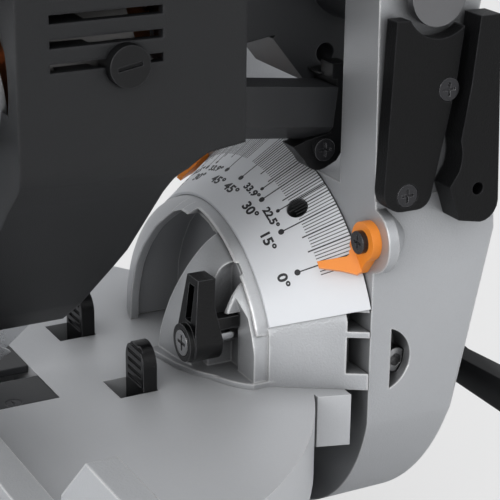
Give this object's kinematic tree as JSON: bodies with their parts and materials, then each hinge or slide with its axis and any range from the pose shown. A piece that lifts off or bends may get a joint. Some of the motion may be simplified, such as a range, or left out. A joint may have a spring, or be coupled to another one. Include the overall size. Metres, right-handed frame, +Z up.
{
  "type": "mitre saw",
  "caption": "Dual-bevel compound mitre saw: a round saw blade on a chopping head, tilted by a dome-shaped bevel joint with a curved scale behind a turning table.",
  "frame": {"origin": "on the bench plane, on the vertical axis about which the table turns, at the centre of the bench bolt pattern; the fence's face is Y = 0", "axes": "+X to the operator's right, +Y to the rear, +Z up"},
  "size_m": [0.552, 0.5523, 0.433],
  "materials": {
    "cast_silver": "satin, sand-cast and shot-blasted",
    "machined": "machined, fine brushed",
    "rubber": "matte",
    "scale_plate": "bright satin sheet with printed black marks",
    "steel_dark": "zinc, slightly dulled",
    "steel_black": "black oxide",
    "steel_bright": "bright zinc",
    "black_plastic": "fine texture",
    "grey_plastic": "fine texture",
    "housing": "fine leather-like texture",
    "clear_guard": "smoked clear plastic",
    "orange": "satin",
    "pointer_orange": "satin enamel",
    "blade_steel": "ground",
    "iron": "laminated",
    "copper": "varnished winding"
  },
  "bodies": {
    "base": {"base_casting": "cast_silver", "rubber_feet": "rubber", "mitre_scale": "scale_plate", "fence_right": "cast_silver", "fence_left": "cast_silver", "fence_bolts": "steel_dark", "mitre_pivot_bolt": "steel_dark"},
    "slide_right": {"slide_fence_right": "cast_silver"},
    "slide_left": {"slide_fence_left": "cast_silver"},
    "knob_right": {"fence_knob_right": "black_plastic"},
    "knob_left": {"fence_knob_left": "black_plastic"},
    "table": {"turntable": "machined", "kerf_plates": "grey_plastic", "kerf_screws": "steel_dark", "mitre_pointer": "pointer_orange", "bevel_drum": "cast_silver", "drum_liner": "black_plastic", "bevel_scale": "scale_plate", "bevel_bolt": "steel_dark"},
    "lock_knob": {"mitre_lock_knob": "black_plastic"},
    "detent": {"detent_lever": "black_plastic"},
    "stop_lever": {"bevel_stop_lever": "black_plastic", "bevel_stop_screw": "steel_bright"},
    "stop_pin": {"bevel_stop_pin": "steel_bright"},
    "tab_right": {"table_tab_right": "black_plastic"},
    "tab_left": {"table_tab_left": "black_plastic"},
    "arm": {"bevel_arm": "cast_silver", "bevel_pointers": "pointer_orange", "pointer_screws": "steel_black", "arm_cover": "black_plastic", "cable_cover": "black_plastic", "arm_screws": "steel_black", "bevel_stop_bolts": "steel_black", "pivot_shaft": "steel_dark", "return_spring": "steel_dark"},
    "bevel_lock": {"bevel_lock_handle": "black_plastic"},
    "pin": {"transport_pin": "steel_bright"},
    "head": {"head_arm": "grey_plastic", "upper_guard": "grey_plastic", "gear_case": "cast_silver", "motor_housing": "housing", "brush_caps": "black_plastic", "motor_field": "iron", "motor_bearings": "steel_bright", "dust_duct": "grey_plastic", "duct_bracket": "black_plastic", "bracket_screw": "steel_black", "main_handle": "black_plastic", "carry_handle": "black_plastic", "dust_port": "black_plastic"},
    "spindle": {"spindle": "steel_bright", "crown_gear": "steel_dark", "blade": "blade_steel", "blade_flanges": "steel_dark", "arbor_bolt": "steel_black"},
    "armature": {"armature": "copper"},
    "guard": {"lower_guard": "clear_guard"},
    "trigger": {"trigger": "orange"},
    "lock_off": {"lock_off_button": "orange"},
    "spindle_lock": {"spindle_lock": "orange"}
  },
  "joints": [
    {"name": "mitre", "type": "hinge", "parent": "base", "child": "table", "pos_m": [0, 0, 0], "axis": [0, 0, 1], "range_deg": [-50, 50]},
    {"name": "bevel", "type": "hinge", "parent": "table", "child": "arm", "pos_m": [0, 0.17, 0.098], "axis": [0, 1, 0], "range_deg": [-48, 48]},
    {"name": "chop", "type": "hinge", "parent": "arm", "child": "head", "pos_m": [0, 0.192, 0.256], "axis": [-1, 0, 0], "range_deg": [0, 40], "stiffness_Nm_per_rad": 5, "springref_deg": 68.75},
    {"name": "lower_guard", "type": "hinge", "parent": "head", "child": "guard", "pos_m": [0, -0.042, 0.231], "axis": [1, 0, 0], "range_deg": [0, 140]},
    {"name": "blade_spin", "type": "hinge", "parent": "head", "child": "spindle", "pos_m": [0, -0.042, 0.231], "axis": [1, 0, 0], "continuous": true},
    {"name": "motor_spin", "type": "hinge", "parent": "head", "child": "armature", "pos_m": [0.06, -0.042, 0.231], "axis": [0, 0.9848, 0.1736], "continuous": true},
    {"name": "mitre_lock_knob", "type": "hinge", "parent": "table", "child": "lock_knob", "pos_m": [0, -0.262, 0.089], "axis": [0, 1, 0], "range_deg": [0, 180]},
    {"name": "detent_lever", "type": "hinge", "parent": "table", "child": "detent", "pos_m": [0, -0.248, 0.078], "axis": [1, 0, 0], "range_deg": [0, 6], "stiffness_Nm_per_rad": 2},
    {"name": "bevel_stop_lever", "type": "hinge", "parent": "table", "child": "stop_lever", "pos_m": [0.037, 0.11, 0.115], "axis": [0, 1, 0], "range_deg": [0, 60]},
    {"name": "bevel_stop_pin", "type": "slide", "parent": "table", "child": "stop_pin", "axis": [0, 1, 0], "range_m": [0, 0.008]},
    {"name": "table_tab_right", "type": "slide", "parent": "table", "child": "tab_right", "axis": [0, 1, 0], "range_m": [-0.009, 0]},
    {"name": "table_tab_left", "type": "slide", "parent": "table", "child": "tab_left", "axis": [0, 1, 0], "range_m": [-0.009, 0]},
    {"name": "slide_fence_right", "type": "slide", "parent": "base", "child": "slide_right", "axis": [1, 0, 0], "range_m": [-0.06, 0]},
    {"name": "slide_fence_left", "type": "slide", "parent": "base", "child": "slide_left", "axis": [1, 0, 0], "range_m": [0, 0.06]},
    {"name": "fence_knob_right", "type": "hinge", "parent": "base", "child": "knob_right", "pos_m": [0.216, 0, 0.11], "axis": [0, 1, 0], "range_deg": [0, 180]},
    {"name": "fence_knob_left", "type": "hinge", "parent": "base", "child": "knob_left", "pos_m": [-0.216, 0, 0.11], "axis": [0, 1, 0], "range_deg": [0, 180]},
    {"name": "bevel_lock_handle", "type": "hinge", "parent": "arm", "child": "bevel_lock", "pos_m": [0, 0.17, 0.098], "axis": [0, 1, 0], "range_deg": [-50, 30]},
    {"name": "transport_pin", "type": "slide", "parent": "arm", "child": "pin", "axis": [-1, 0, 0], "range_m": [-0.026, 0]},
    {"name": "trigger", "type": "hinge", "parent": "head", "child": "trigger", "pos_m": [0, -0.15841, 0.36525], "axis": [1, 0, 0], "range_deg": [0, 8], "stiffness_Nm_per_rad": 0.6},
    {"name": "lock_off_button", "type": "slide", "parent": "head", "child": "lock_off", "axis": [1, 0, 0], "range_m": [-0.003, 0.003], "stiffness_N_per_m": 300},
    {"name": "spindle_lock", "type": "slide", "parent": "head", "child": "spindle_lock", "axis": [0, 0, 1], "range_m": [-0.005, 0], "stiffness_N_per_m": 300}
  ],
  "couplings": [
    {"joint": "lower_guard", "follows": "chop", "ratio": 3.5},
    {"joint": "motor_spin", "follows": "blade_spin", "ratio": 3},
    {"joint": "bevel_stop_pin", "follows": "bevel_stop_lever", "m_per_rad": 0.007639}
  ]
}
